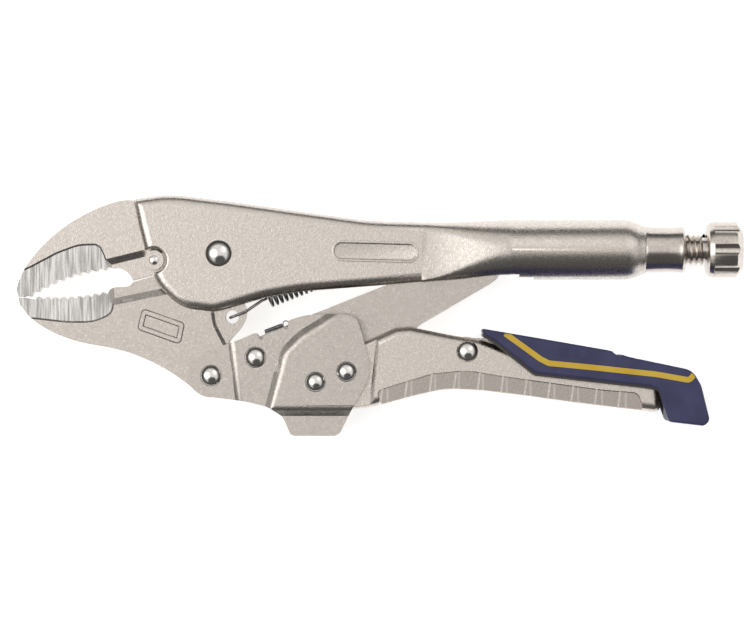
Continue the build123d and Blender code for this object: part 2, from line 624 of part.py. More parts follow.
with BuildPart() as lower_handle:
    both_sides(lever_top + lever_under + lever_front, lever_rear_out)
    under_edges = [
        edge for edge in lower_handle.edges()
        if abs(abs(edge.center().Z - middle_z) - lever_rear_out) < 0.01
        and edge.center().Y - pivot_y < -46.0 and edge.center().X - pivot_x < LEVER_END - 0.5
    ]
    fillet(under_edges, LEVER_BEND)
    add(lands(front_zone, lever_front_out, HANDLE_JOGGLE, -JOGGLE_SLOPE), mode=Mode.SUBTRACT)
    both_sides(narrow_hollow, lever_front_out - LEVER_SHEET, mode=Mode.SUBTRACT)
    both_sides(wide_hollow, lever_rear_out - LEVER_SHEET, mode=Mode.SUBTRACT)
    add(lands(pad_top + pad_under, lever_rear_out, PAD_RAISE, 30.0))
    with BuildSketch(MIDDLE) as ribs:
        for index in range(RIBS):
            rib_x = pad_top[0][0] + 2.0 + index * RIB_PITCH
            with Locations(Location((rib_x, -48.0), -8.0)):
                Rectangle(RIB_WIDTH, 14.0)
    with BuildPart(mode=Mode.PRIVATE) as rib_bars:
        extrude(ribs.sketch, amount=FAR, both=True)
        both_sides(pad_top + pad_under, pad_out - RIB_DEPTH, mode=Mode.SUBTRACT)
        both_sides(pad_top + [(146.6, -80.0, 0), (54.2, -80.0, 0)], FAR, mode=Mode.INTERSECT)
    add(rib_bars.part, mode=Mode.SUBTRACT)
    bore(FRAME_RIVETS + [RELEASE_RIVET], SHANK_R)
finish(lower_handle, "lower_handle")

# ================================================================ release lever
LEVER_HALF = 5.0
SPACER_R = 5.0
arm_top = [(94.0, -29.4), (110.8, -32.2), (128.0, -35.3), (150.0, -40.3)]
release_outline = [
    (65.1, -29.4, 2.1), (76.0, -30.6, 4), (83.0, -28.9, 4), (arm_top[0][0], arm_top[0][1], 0),
    (arm_top[1][0], arm_top[1][1], 0), (arm_top[2][0], arm_top[2][1], 0),
    (arm_top[3][0], arm_top[3][1], 0), (154.4, -41.3, 0), (154.4, -46.4, 2), (150.0, -46.0, 8),
    (128.0, -41.2, 30), (100.0, -37.4, 20), (90.0, -38.6, 4), (83.0, -38.8, 5), (74.0, -34.8, 8),
    (65.4, -34.0, 2.1),
]
with BuildPart() as release_lever:
    both_sides(release_outline, LEVER_HALF)
    bore([RELEASE_RIVET], SHANK_R + PIN_GAP)
finish(release_lever, "release_lever")

with BuildPart() as release_spacers:
    for side in (1, -1):
        with BuildSketch(level(side * (LEVER_HALF + 2 * PIN_GAP))):
            with Locations(RELEASE_RIVET):
                Circle(SPACER_R)
                Circle(SHANK_R, mode=Mode.SUBTRACT)
        extrude(amount=side * (lever_rear_out - LEVER_SHEET - LEVER_HALF - 2 * PIN_GAP))
finish(release_spacers, "release_spacers")

# ================================================================ grip
TAIL_X = 169.0
grip_back = [
    (90.2, -25.8, 1.0), (110.8, -29.3, 60), (135.0, -33.5, 20), (141.0, -35.6, 20), (163.0, -40.2, 6),
    (166.0, -45.4, 8), (TAIL_X, -57.6, 2.5), (167.0, -59.4, 2.0), (155.0, -58.0, 1.5),
]
grip_front = [
    (152.9, -52.3, 6), (151.6, -47.0, 1.5), (148.8, -45.8, 2), (109.0, -41.2, 3), (95.3, -30.2, 6),
    (92.0, -28.4, 1),
]
core_back = [
    (91.0, -27.4, 0.6), (110.8, -29.3 - COVER_WALL, 60), (135.0, -33.5 - COVER_WALL, 20),
    (141.0, -35.6 - COVER_WALL, 20), (161.6, -40.2 - COVER_WALL, 5), (164.4, -45.6, 8),
    (167.2, -56.6, 2), (166.2, -57.6, 1), (155.0, -56.4, 0.6),
]
YELLOW_LIP = 0.9            # the stiff moulding shows this much along the front edge
core_front = [
    (152.9, -52.3, 6), (151.3, -47.3, 1.5), (148.8, -45.8 - YELLOW_LIP, 2),
    (108.6, -41.2 - YELLOW_LIP, 3), (94.7, -30.2 - YELLOW_LIP, 6), (91.0, -28.6, 0.6),
]
saddle = (
    [(80.0, -27.8, 0)] + [(x, y, 0) for x, y in arm_top]
    + [(154.4, -41.3, 0), (154.4, -62.0, 0), (80.0, -62.0, 0)]
)
STRIPE_WIDTH = 1.9
stripe_line = [
    (98.6, -27.6), (110.8, -36.4), (113.6, -37.8), (128.1, -39.2), (150.5, -41.6), (161.8, -43.6),
    (163.6, -41.6),
]
GRIP_ROUND = 0.9
GROOVES = 4                 # finger grooves across the back of the grip
GROOVE_R = 3.2
GROOVE_DEPTH = 0.6
groove_start = (138.1, -34.5)
groove_step = (6.43, -1.3)

with BuildPart() as stripe:
    with BuildSketch(level(core_out)) as band:
        with BuildLine():
            FilletPolyline(stripe_line, radius=1.2)
        trace(line_width=STRIPE_WIDTH)
    extrude(band.sketch, amount=COVER_WALL)
    mirror(about=MIDDLE)

with BuildPart() as core_blank:
    both_sides(core_back + core_front, core_out)

with BuildPart() as grip_cover:
    both_sides(grip_back + grip_front, cover_out)
    rim_edges = [
        edge for edge in grip_cover.edges()
        if abs(abs(edge.center().Z - middle_z) - cover_out) < 0.01
    ]
    fillet(rim_edges, GRIP_ROUND)
    bore([
        (
            groove_start[0] + index * groove_step[0],
            groove_start[1] + index * groove_step[1] + GROOVE_R - GROOVE_DEPTH,
        )
        for index in range(GROOVES)
    ], GROOVE_R)
    grip_shape = grip_cover.part
    add(core_blank.part, mode=Mode.SUBTRACT)
    add(stripe.part, mode=Mode.SUBTRACT)
    both_sides(saddle, core_in, mode=Mode.SUBTRACT)
finish(grip_cover, "grip_cover")

with BuildPart() as grip_core:
    add(core_blank.part)
    add(grip_shape.intersect(stripe.part))
    both_sides(saddle, core_in, mode=Mode.SUBTRACT)
finish(grip_core, "grip_core")

# ================================================================ adjusting screw
with BuildPart() as screw_bush:
    turned([
        (bush_front, THREAD_R + BUSH_GAP), (bush_front, TUBE_R - HANDLE_SHEET),
        (shoulder_x, TUBE_R - HANDLE_SHEET), (shoulder_x + 2.0, WAIST_R), (tube_end, WAIST_R),
        (tube_end, NECK_R), (neck_end - 6.0, NECK_R - 0.25), (neck_end - 2.2, NECK_R - 0.05),
        (neck_end - 0.9, NECK_R + 0.2), (neck_end, NECK_R - 0.7), (neck_end, THREAD_R + BUSH_GAP),
    ])
finish(screw_bush, "screw_bush")


def end_face(x):
    """Drawing plane square to the screw, facing the knob end."""
    return Plane(origin=(pivot_x + x, pivot_y + SCREW_Y, middle_z), x_dir=(0, 1, 0), z_dir=(1, 0, 0))


thread_start = nose_x + NOSE_LENGTH + 0.2
with BuildPart() as adjusting_screw:
    turned([
        (thread_start, 0), (thread_start, THREAD_R - THREAD_DEPTH), (thread_start + 1.0, THREAD_R),
        (knob_start, THREAD_R), (knob_start, 0),
    ])
    turned([
        (knob_start, 0), (knob_start, KNOB_R - 1.8), (knob_start + 0.9, KNOB_R - 0.5),
        (knob_start + KNOB_COLLAR, KNOB_R), (TAIL_REACH - 2.2, KNOB_R), (TAIL_REACH, KNOB_R - 2.8),
        (TAIL_REACH, 0),
    ])
    with BuildSketch(end_face(knob_start + KNOB_COLLAR)) as flutes:
        with PolarLocations(KNOB_R - FLUTE_CUT + FLUTE_R, FLUTES):
            Circle(FLUTE_R)
    extrude(flutes.sketch, amount=FAR, mode=Mode.SUBTRACT)
    with BuildSketch(end_face(TAIL_REACH)) as socket:
        RegularPolygon(HEX_ACROSS / 2, 6, major_radius=False)
    extrude(socket.sketch, amount=-HEX_DEPTH, mode=Mode.SUBTRACT)
finish(adjusting_screw, "adjusting_screw")

with BuildPart() as screw_nose:
    turned([
        (nose_x, 0), (nose_x, NOSE_R - 0.8), (nose_x + 0.8, NOSE_R), (nose_x + NOSE_LENGTH, NOSE_R),
        (nose_x + NOSE_LENGTH, 0),
    ])
finish(screw_nose, "screw_nose")

# ================================================================ springs
COIL_R = 3.5
coil_start = (16.3, -15.7)
coil_end = (SPRING_ANCHOR[0] - 3.0, SPRING_ANCHOR[1] - 1.1)
run = Vector(coil_end[0] - coil_start[0], coil_end[1] - coil_start[1])
coil_plane = Plane(
    origin=(pivot_x + coil_start[0], pivot_y + coil_start[1], middle_z),
    x_dir=(0, 0, 1),
    z_dir=(run.X, run.Y, 0),
)
with BuildPart() as tension_spring:
    with BuildSketch(coil_plane):
        Circle(COIL_R)
    extrude(amount=run.length)
finish(tension_spring, "tension_spring")

with BuildPart() as spring_anchor:
    anchor = [
        (55.0, 8.6, 0), (66.0, 8.2, 0), (64.0, 3.0, 2), (62.4, -1.2, 2.2), (58.0, -1.2, 2.2),
        (57.4, 3.0, 2),
    ]
    both_sides(anchor, 1.1)
    bore([SPRING_ANCHOR], 1.1)
finish(spring_anchor, "spring_anchor")

RETURN_WIRE_R = 0.75
return_from = (15.9, -27.0)
return_to = (22.0, -24.7)
return_run = Vector(return_to[0] - return_from[0], return_to[1] - return_from[1])
with BuildPart() as return_spring:
    with BuildSketch(Plane(
        origin=(pivot_x + return_from[0], pivot_y + return_from[1], middle_z + (link_out + mid_in) / 2),
        x_dir=(0, 0, 1),
        z_dir=(return_run.X, return_run.Y, 0),
    )):
        Circle(RETURN_WIRE_R)
    extrude(amount=return_run.length)
finish(return_spring, "return_spring")
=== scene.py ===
# %% [markdown]
# # Locking pliers
# A pair of locking pliers lies on its side on a pale table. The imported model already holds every
# steel part at its true size, so this file does three things: it gives each part its real finish,
# it models the pieces whose look depends on fine shape (the springs, the thread and knob of the
# screw, the pressed plate), and it sets up a soft studio like the ones used for tool catalogues.

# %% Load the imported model
import json
import math

import bpy
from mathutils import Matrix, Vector


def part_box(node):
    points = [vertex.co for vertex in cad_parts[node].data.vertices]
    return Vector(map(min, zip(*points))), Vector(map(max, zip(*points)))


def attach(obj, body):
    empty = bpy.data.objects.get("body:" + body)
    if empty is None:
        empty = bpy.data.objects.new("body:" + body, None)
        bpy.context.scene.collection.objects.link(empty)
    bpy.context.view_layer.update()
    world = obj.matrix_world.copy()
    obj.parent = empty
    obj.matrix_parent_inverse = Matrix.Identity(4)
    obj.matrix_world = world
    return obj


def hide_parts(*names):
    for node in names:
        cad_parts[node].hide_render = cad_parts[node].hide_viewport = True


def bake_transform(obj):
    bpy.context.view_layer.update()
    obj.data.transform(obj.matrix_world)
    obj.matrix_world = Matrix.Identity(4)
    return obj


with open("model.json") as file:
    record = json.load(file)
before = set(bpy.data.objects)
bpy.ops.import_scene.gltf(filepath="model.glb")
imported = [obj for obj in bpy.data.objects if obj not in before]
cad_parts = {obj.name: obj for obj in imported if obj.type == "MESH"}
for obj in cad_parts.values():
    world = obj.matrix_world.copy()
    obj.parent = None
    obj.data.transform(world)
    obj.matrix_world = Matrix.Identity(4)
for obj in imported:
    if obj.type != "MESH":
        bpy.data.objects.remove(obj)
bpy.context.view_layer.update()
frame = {"nodes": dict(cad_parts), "record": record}
NODES = frame["nodes"]
MM = 0.001
PIVOT = (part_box("main_pivot_rivet")[0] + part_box("main_pivot_rivet")[1]) / 2


def at(x, y, z=0.0):
    """A place in millimetres from the centre of the main rivet, as a vector in metres."""
    return PIVOT + Vector((x, y, z)) * MM


# %% [markdown]
# ## The camera
# The tool is seen square from above, from so far away that parallel edges stay parallel. A long
# lens gives that. The distance follows from the width that the picture has to take in.

# %% Camera
PICTURE_WIDTH = 259.4 * MM
LENS = 200.0
SENSOR = 36.0
VIEW_CENTRE = Vector((-1.4 * MM, 0.1 * MM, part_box("lower_jaw")[1].z))

camera_data = bpy.data.cameras.new("catalogue_camera")
camera_data.lens = LENS
camera_data.sensor_width = SENSOR
camera = bpy.data.objects.new("catalogue_camera", camera_data)
bpy.context.scene.collection.objects.link(camera)
camera.location = VIEW_CENTRE + Vector((0, 0, PICTURE_WIDTH * LENS / SENSOR))
camera_data.clip_start = 0.05
camera_data.clip_end = 20.0
bpy.context.scene.camera = camera
bpy.context.scene.view_settings.view_transform = "Standard"
print("camera height in m:", round(camera.location.z, 3))

# %% [markdown]
# ## The studio
# Bright nickel shows what stands round it more than it shows its own colour. A flat side that faces
# up mirrors what is overhead, and a bend at 45 degrees mirrors the horizon. So the sky here is a
# studio tent: pale overhead, dark towards the horizon, a bright panel on the left, a softer one at the
# right and a dark flag at the front. The dark parts draw a line along every bend, and the bright
# panel puts a white spot on every rivet. A sky made of nodes does this with no noise, where small
# lamps would give hard spots.

# %% Studio tent
world = bpy.data.worlds.new("studio_tent")
bpy.context.scene.world = world
world.use_nodes = True
tent = world.node_tree
tent.nodes.clear()
tent_out = tent.nodes.new("ShaderNodeOutputWorld")
tent_light = tent.nodes.new("ShaderNodeBackground")
tent_where = tent.nodes.new("ShaderNodeTexCoord")
tent_split = tent.nodes.new("ShaderNodeSeparateXYZ")
tent_ramp = tent.nodes.new("ShaderNodeValToRGB")
tent.links.new(tent_where.outputs["Generated"], tent_split.inputs[0])
tent.links.new(tent_split.outputs["Z"], tent_ramp.inputs[0])
HEIGHT_STOPS = [(0.0, 0.05), (0.25, 0.06), (0.42, 0.22), (0.60, 0.84), (1.0, 0.88)]
ramp = tent_ramp.color_ramp
while len(ramp.elements) < len(HEIGHT_STOPS):
    ramp.elements.new(0.5)
for element, (place, value) in zip(ramp.elements, HEIGHT_STOPS):
    element.position = place
    element.color = (value, value * 0.975, value * 0.945, 1.0)


def card(colour_in, direction, outer, inner, value):
    """A soft-edged round card of one brightness, hung in a direction over the colours so far."""
    facing = tent.nodes.new("ShaderNodeVectorMath")
    facing.operation = "DOT_PRODUCT"
    facing.inputs[1].default_value = Vector(direction).normalized()
    tent.links.new(tent_where.outputs["Generated"], facing.inputs[0])
    edge = tent.nodes.new("ShaderNodeMapRange")
    edge.interpolation_type = "SMOOTHSTEP"
    edge.inputs["From Min"].default_value = math.cos(math.radians(outer))
    edge.inputs["From Max"].default_value = math.cos(math.radians(inner))
    tent.links.new(facing.outputs["Value"], edge.inputs["Value"])
    mix = tent.nodes.new("ShaderNodeMix")
    mix.data_type = "RGBA"
    mix.inputs["B"].default_value = (value, value * 0.985, value * 0.97, 1.0)
    tent.links.new(edge.outputs["Result"], mix.inputs["Factor"])
    tent.links.new(colour_in, mix.inputs["A"])
    return mix.outputs["Result"]


tent_colour = tent_ramp.outputs[0]
CARDS = [       # direction, the angles in degrees where the edge starts and stops, and the brightness
    ((0.15, -0.70, 0.70), 37, 25, 0.10),        # dark flag at the front
    ((-0.56, 0.02, 0.83), 27, 20, 2.4),         # bright panel on the left
    ((0.50, 0.42, 0.76), 24, 12, 1.25),         # soft panel at the right
]
for direction, outer, inner, value in CARDS:
    tent_colour = card(tent_colour, direction, outer, inner, value)
tent.links.new(tent_colour, tent_light.inputs["Color"])
tent.links.new(tent_light.outputs[0], tent_out.inputs["Surface"])
print("tent nodes:", len(tent.nodes))

# %% [markdown]
# ## The table
# The tool lies on a large pale sheet that runs out of the picture on every side. Plain white would
# turn grey where the tool shades it, so the sheet also glows a little by itself, which keeps the gaps
# between the handles nearly white. It belongs to the stage and not to the tool.

# %% Table
TABLE_SIZE = 8.0
TABLE_GLOW = 0.62
TABLE_DROP = 0.2 * MM       # just under the tool, so that no two faces lie in one plane
bpy.ops.object.select_all(action="DESELECT")
bpy.ops.mesh.primitive_plane_add(size=TABLE_SIZE, location=(0, 0, -TABLE_DROP))
table = bpy.context.active_object
table.name = "pale_table"
table_finish = bpy.data.materials.new("pale_table")
table_finish.use_nodes = True
table_shader = table_finish.node_tree.nodes["Principled BSDF"]
table_shader.inputs["Base Color"].default_value = (0.92, 0.92, 0.92, 1)
table_shader.inputs["Roughness"].default_value = 1.0
table_shader.inputs["Specular IOR Level"].default_value = 0.0
table_shader.inputs["Emission Color"].default_value = (1, 1, 1, 1)
table_shader.inputs["Emission Strength"].default_value = TABLE_GLOW
table.data.materials.append(table_finish)
print("table:", table.name)


# %% [markdown]
# ## Shared effects
# Several finishes share the same small effects. Blasted steel has pits a few tenths of a millimetre
# wide, and the plating on it changes tone from one millimetre to the next. Ground steel has straight
# scratches. Each effect is built once as a node group that puts out heights and masks, and every
# finish uses it with its own strength.

# %% Helpers for nodes
def new_group(name, inputs, outputs):
    """An empty shader node group with number inputs (name, default) and number outputs."""
    group = bpy.data.node_groups.new(name, "ShaderNodeTree")
    for label, default in inputs:
        socket = group.interface.new_socket(name=label, in_out="INPUT", socket_type="NodeSocketFloat")
        socket.default_value = default
    for label in outputs:
        group.interface.new_socket(name=label, in_out="OUTPUT", socket_type="NodeSocketFloat")
    return group, group.nodes.new("NodeGroupInput"), group.nodes.new("NodeGroupOutput")


def math_node(tree, operation, first, second=0.0):
    """A math node; first is a socket, second a socket or a number; returns its output."""
    node = tree.nodes.new("ShaderNodeMath")
    node.operation = operation
    tree.links.new(first, node.inputs[0])
    if isinstance(second, (int, float)):
        node.inputs[1].default_value = second
    else:
        tree.links.new(second, node.inputs[1])
    return node.outputs[0]


def noise(tree, where, scale, detail, stretch=(1.0, 1.0, 1.0)):
    """Noise on Object coordinates; scale in features per metre, or a socket for it."""
    mapping = tree.nodes.new("ShaderNodeMapping")
    mapping.inputs["Scale"].default_value = stretch
    tree.links.new(where, mapping.inputs["Vector"])
    texture = tree.nodes.new("ShaderNodeTexNoise")
    texture.inputs["Detail"].default_value = detail
    if isinstance(scale, (int, float)):
        texture.inputs["Scale"].default_value = scale
    else:
        tree.links.new(scale, texture.inputs["Scale"])
    tree.links.new(mapping.outputs[0], texture.inputs["Vector"])
    return texture.outputs["Fac"]


def ranged(tree, value, low, high, to_low, to_high):
    """Value stretched from one range to another; returns the socket."""
    stretch = tree.nodes.new("ShaderNodeMapRange")
    for label, number in (("From Min", low), ("From Max", high), ("To Min", to_low), ("To Max", to_high)):
        stretch.inputs[label].default_value = number
    tree.links.new(value, stretch.inputs["Value"])
    return stretch.outputs["Result"]


# %% Blasted surface
SPECKS_PER_METRE = 3900.0
blasted, enter, leave = new_group(
    "blasted_surface",
    [("Grains per metre", 2300.0), ("Patches per metre", 900.0)],
    ["Height", "Patches", "Specks"],
)
where = blasted.nodes.new("ShaderNodeTexCoord").outputs["Object"]
grain = noise(blasted, where, enter.outputs["Grains per metre"], 2.0)
patches = noise(blasted, where, enter.outputs["Patches per metre"], 4.0)
specks = noise(blasted, where, SPECKS_PER_METRE, 1.0)
blasted.links.new(grain, leave.inputs["Height"])
blasted.links.new(ranged(blasted, patches, 0.32, 0.68, 0.0, 1.0), leave.inputs["Patches"])
blasted.links.new(ranged(blasted, specks, 0.54, 0.72, 0.0, 1.0), leave.inputs["Specks"])
print("node group:", blasted.name)

# %% Ground faces
# The toothed faces lie a fixed depth below the sides of the jaws. A mask finds that level, and with
# another level the same group finds the grip band of the handle and the stripe of the grip.
FACE_LEVEL = 5.25 * MM
FACE_BAND = 0.18 * MM
ground, enter, leave = new_group(
    "ground_faces",
    [("Middle height", PIVOT.z), ("Face level", FACE_LEVEL)],
    ["Mask", "Scratches"],
)
where = ground.nodes.new("ShaderNodeTexCoord").outputs["Object"]
split = ground.nodes.new("ShaderNodeSeparateXYZ")
ground.links.new(where, split.inputs[0])
level = math_node(ground, "SUBTRACT", split.outputs["Z"], enter.outputs["Middle height"])
level = math_node(ground, "ABSOLUTE", level)
level = math_node(ground, "SUBTRACT", level, enter.outputs["Face level"])
level = math_node(ground, "ABSOLUTE", level)
ground.links.new(math_node(ground, "LESS_THAN", level, FACE_BAND), leave.inputs["Mask"])
SCRATCHES_PER_METRE = 1500.0
ALONG_SCRATCH = 0.06        # the noise is drawn out this much along the scratches
scratches = noise(
    ground, where, SCRATCHES_PER_METRE, 2.0, (1.0, ALONG_SCRATCH, ALONG_SCRATCH),
)
ground.links.new(scratches, leave.inputs["Scratches"])
print("node group:", ground.name)


# %% [markdown]
# ## Finishes
# The pressed and forged parts are blasted and then nickel plated: a metal with a warm pale tone,
# fine pits and slightly darker specks. The rivets are the same metal but polished, so they mirror
# the studio. The springs are plain dark steel, and the grip is two plastics with a fine moulded
# grain. Each finish is a Principled shader in its own material, fed by the shared groups.

# %% Helpers for finishes
def new_finish(name):
    """A new material, its tree and its shader."""
    material = bpy.data.materials.new(name)
    material.use_nodes = True
    return material, material.node_tree, material.node_tree.nodes["Principled BSDF"]


def mixed(tree, factor, dark, light):
    """Mix of two colours by a factor socket; a colour is a triple or a socket."""
    mix = tree.nodes.new("ShaderNodeMix")
    mix.data_type = "RGBA"
    tree.links.new(factor, mix.inputs["Factor"])
    for label, colour in (("A", dark), ("B", light)):
        if isinstance(colour, tuple):
            mix.inputs[label].default_value = (*colour, 1)
        else:
            tree.links.new(colour, mix.inputs[label])
    return mix.outputs["Result"]


def bumped(tree, shader, height, strength, distance):
    """Lets a height socket tilt the shader's normal."""
    bump = tree.nodes.new("ShaderNodeBump")
    bump.inputs["Strength"].default_value = strength
    bump.inputs["Distance"].default_value = distance
    tree.links.new(height, bump.inputs["Height"])
    tree.links.new(bump.outputs["Normal"], shader.inputs["Normal"])


def effect(tree, group, **values):
    """A node group placed in a material, with its own values."""
    node = tree.nodes.new("ShaderNodeGroup")
    node.node_tree = group
    for label, value in values.items():
        node.inputs[label.replace("_", " ")].default_value = value
    return node


def painted(tree, shader, patches, colours, roughness):
    """Two colours, and two degrees of roughness, that follow the same patches."""
    tree.links.new(mixed(tree, patches, *colours), shader.inputs["Base Color"])
    tree.links.new(ranged(tree, patches, 0.0, 1.0, *roughness), shader.inputs["Roughness"])


# %% Nickel
NICKEL_DARK = (0.600, 0.553, 0.512)
NICKEL_PALE = (0.690, 0.645, 0.602)
SPECK = (0.36, 0.33, 0.30)
GROUND_DARK = (0.36, 0.35, 0.34)
GROUND_PALE = (0.72, 0.705, 0.695)
SPECK_STRENGTH = 0.65
PATCH_GLOSS = (0.06, -0.04)         # rougher where the patches are dark, smoother where they are pale


def nickel(name, depth, roughness, brightness=1.0, faces=False):
    """Blasted and plated steel; depth is the bump of the pits, faces adds the ground faces."""
    dark, pale, speck = (
        tuple(brightness * part for part in colour) for colour in (NICKEL_DARK, NICKEL_PALE, SPECK)
    )
    material, tree, shader = new_finish(name)
    pits = effect(tree, blasted)
    shader.inputs["Metallic"].default_value = 1.0
    tone = mixed(tree, pits.outputs["Patches"], dark, pale)
    strength = math_node(tree, "MULTIPLY", pits.outputs["Specks"], SPECK_STRENGTH)
    tone = mixed(tree, strength, tone, speck)
    rough, smooth = (roughness + step for step in PATCH_GLOSS)
    gloss = ranged(tree, pits.outputs["Patches"], 0.0, 1.0, rough, smooth)
    height = pits.outputs["Height"]
    if faces:
        marks = effect(tree, ground)
        scratched = ranged(tree, marks.outputs["Scratches"], 0.35, 0.65, 0.0, 1.0)
        bright = mixed(tree, scratched, GROUND_DARK, GROUND_PALE)
        tone = mixed(tree, marks.outputs["Mask"], tone, bright)
        blend = tree.nodes.new("ShaderNodeMix")
        tree.links.new(marks.outputs["Mask"], blend.inputs["Factor"])
        tree.links.new(height, blend.inputs["A"])
        tree.links.new(marks.outputs["Scratches"], blend.inputs["B"])
        height = blend.outputs["Result"]
    tree.links.new(tone, shader.inputs["Base Color"])
    tree.links.new(gloss, shader.inputs["Roughness"])
    bumped(tree, shader, height, 1.0, depth)
    return material


# %% [markdown]
# ## The grip band of the lower handle
# A band runs along the lower handle where the fingers hold it. It is pressed outwards a little, and
# fine ribs cross it. Its rounded flange is painted darker, as painted shade. The ribs are too shallow
# for a mesh, so the finish draws them as painted highlights: the band is found by its distance from
# the middle plane, and a ping-pong of the place along the handle gives one pale line of painted
# highlight per pitch.

# %% Nickel with a ribbed band
BAND_LEVEL = 9.9 * MM       # the ribbed band stands this far from the middle plane
# Painted shade of the band, and the pale painted highlight drawn on each rib.
BAND_PAINTED_SHADE = (0.42, 0.385, 0.355)
RIB_PAINTED_HIGHLIGHT = (0.56, 0.52, 0.485)
RIB_PITCH = 8.2 * MM
RIB_START = at(82.8, 0).x
RIB_EDGES = (0.01, 0.06)    # shares of the pitch where a rib starts and stops to fade


def banded_nickel(name, depth, roughness):
    """Nickel whose outermost level, the grip band, gets painted shade and pale painted rib highlights."""
    material = nickel(name, depth, roughness)
    tree = material.node_tree
    shader = tree.nodes["Principled BSDF"]
    band = effect(tree, ground, Face_level=BAND_LEVEL)
    where = tree.nodes.new("ShaderNodeTexCoord").outputs["Object"]
    split = tree.nodes.new("ShaderNodeSeparateXYZ")
    tree.links.new(where, split.inputs[0])
    along = math_node(tree, "SUBTRACT", split.outputs["X"], RIB_START)
    along = math_node(tree, "DIVIDE", along, RIB_PITCH)
    away = math_node(tree, "PINGPONG", along, 0.5)
    # Painted shade on the band, crossed by one pale painted highlight line per rib.
    ribbed = mixed(tree, ranged(tree, away, *RIB_EDGES, 1.0, 0.0), BAND_PAINTED_SHADE, RIB_PAINTED_HIGHLIGHT)
    plain = shader.inputs["Base Color"].links[0].from_socket
    tree.links.new(mixed(tree, band.outputs["Mask"], plain, ribbed), shader.inputs["Base Color"])
    return material


# %% [markdown]
# ## Rivets, springs and grip
# A rivet's head is polished by the tool that forms it, and spring wire keeps its dark oiled skin. Both
# are one helper with other tones. The grip is two mouldings, one in the other. Only the stripe of the
# stiff yellow one comes up to the face of the blue one, and its edge below lies in shade, so the
# yellow is kept to the stripe's level.

# %% Polished rivets and spring wire
RIVET_TONES = ((0.76, 0.735, 0.71), (0.84, 0.82, 0.80))
WIRE_TONES = ((0.20, 0.20, 0.205), (0.36, 0.355, 0.35))


def plain_metal(name, grains, colours, roughness, depth):
    """Bare or polished metal without specks; grains per metre set how fine its waviness is."""
    material, tree, shader = new_finish(name)
    pits = effect(tree, blasted, Grains_per_metre=grains)
    shader.inputs["Metallic"].default_value = 1.0
    painted(tree, shader, pits.outputs["Patches"], colours, roughness)
    bumped(tree, shader, pits.outputs["Height"], 1.0, depth)
    return material


# %% Mouldings of the grip
YELLOW_TONES = ((0.62, 0.40, 0.022), (0.70, 0.48, 0.045))
BLUE_TONES = ((0.030, 0.032, 0.098), (0.046, 0.048, 0.130))
STRIPE_EDGE_PAINTED_SHADE = (0.060, 0.052, 0.050)
MOULDED_GLOSS = 0.45
WORN_ROUGHER = 0.08


def moulding(name, colours, roughness, depth):
    """Moulded plastic with a fine grain and slightly worn, paler patches."""
    material, tree, shader = new_finish(name)
    pits = effect(tree, blasted, Grains_per_metre=3200.0, Patches_per_metre=120.0)
    painted(tree, shader, pits.outputs["Patches"], colours, (roughness + WORN_ROUGHER, roughness))
    shader.inputs["Specular IOR Level"].default_value = MOULDED_GLOSS
    bumped(tree, shader, pits.outputs["Height"], 1.0, depth)
    return material


STRIPE_LEVEL = 12.9 * MM    # the yellow shows only where it comes up to the face of the blue cover


def striped_moulding(name):
    """The stiff moulding: yellow on its raised stripe, and near-black painted shade where it edges the
    cover.
    """
    material = moulding(name, YELLOW_TONES, 0.42, 0.02 * MM)
    tree = material.node_tree
    shader = tree.nodes["Principled BSDF"]
    stripe = effect(tree, ground, Face_level=STRIPE_LEVEL)
    yellow = shader.inputs["Base Color"].links[0].from_socket
    # Below the stripe's level the yellow moulding is painted near black, as painted shade.
    tone = mixed(tree, stripe.outputs["Mask"], STRIPE_EDGE_PAINTED_SHADE, yellow)
    tree.links.new(tone, shader.inputs["Base Color"])
    return material


# %% All finishes, and which part has which
FINISHES = {
    "satin_nickel": nickel("satin_nickel", 0.06 * MM, 0.27, 1.03),
    "ground_jaw": nickel("ground_jaw", 0.06 * MM, 0.27, 1.02, faces=True),
    # The lower jaw's finish (0.90) and the frame's finish (0.85) are darker copies of the nickel: painted
    # shade.
    "lower_jaw": nickel("lower_jaw", 0.06 * MM, 0.29, 0.90, faces=True),
    "frame_nickel_painted_shade": nickel("frame_nickel_painted_shade", 0.07 * MM, 0.30, 0.85),
    "banded_nickel": banded_nickel("banded_nickel", 0.06 * MM, 0.28),
    "turned_nickel": nickel("turned_nickel", 0.02 * MM, 0.20),
    "polished_rivet": plain_metal("polished_rivet", 900.0, RIVET_TONES, (0.16, 0.09), 0.012 * MM),
    "spring_steel": plain_metal("spring_steel", 1500.0, WIRE_TONES, (0.38, 0.26), 0.01 * MM),
    "yellow_moulding": striped_moulding("yellow_moulding"),
    "blue_grip": moulding("blue_grip", BLUE_TONES, 0.48, 0.04 * MM),
}
SLOT_OF = {row["node"]: row["material_slot"] for row in frame["record"]["subparts"]}
# Darker copies of the nickel on the frame, the toggle link and the lower jaw are painted shade
# of the lower and deeper parts of the tool.
TONES = {
    "fixed_jaw": "ground_jaw", "lower_jaw": "lower_jaw", "control_frame": "frame_nickel_painted_shade",
    "toggle_link": "frame_nickel_painted_shade", "lower_handle": "banded_nickel",
}
for name, node in NODES.items():
    node.data.materials.clear()
    node.data.materials.append(FINISHES[TONES.get(name, SLOT_OF[name])])
print("finishes:", len(FINISHES))

# %% [markdown]
# ## Worn edges
# Blanked and forged steel is tumbled before plating, so no edge on the real tool is sharp, and each
# one carries a thin bright line. A Weld modifier joins the loose triangles of a CAD part and a Bevel
# modifier then rounds its corners by a few tenths of a millimetre. Both leave the part's own mesh
# as it is.

# %% Soft edges on the steel parts
SHARP = math.radians(28)
SAME_POINT = 0.002 * MM     # corners closer than this are one corner


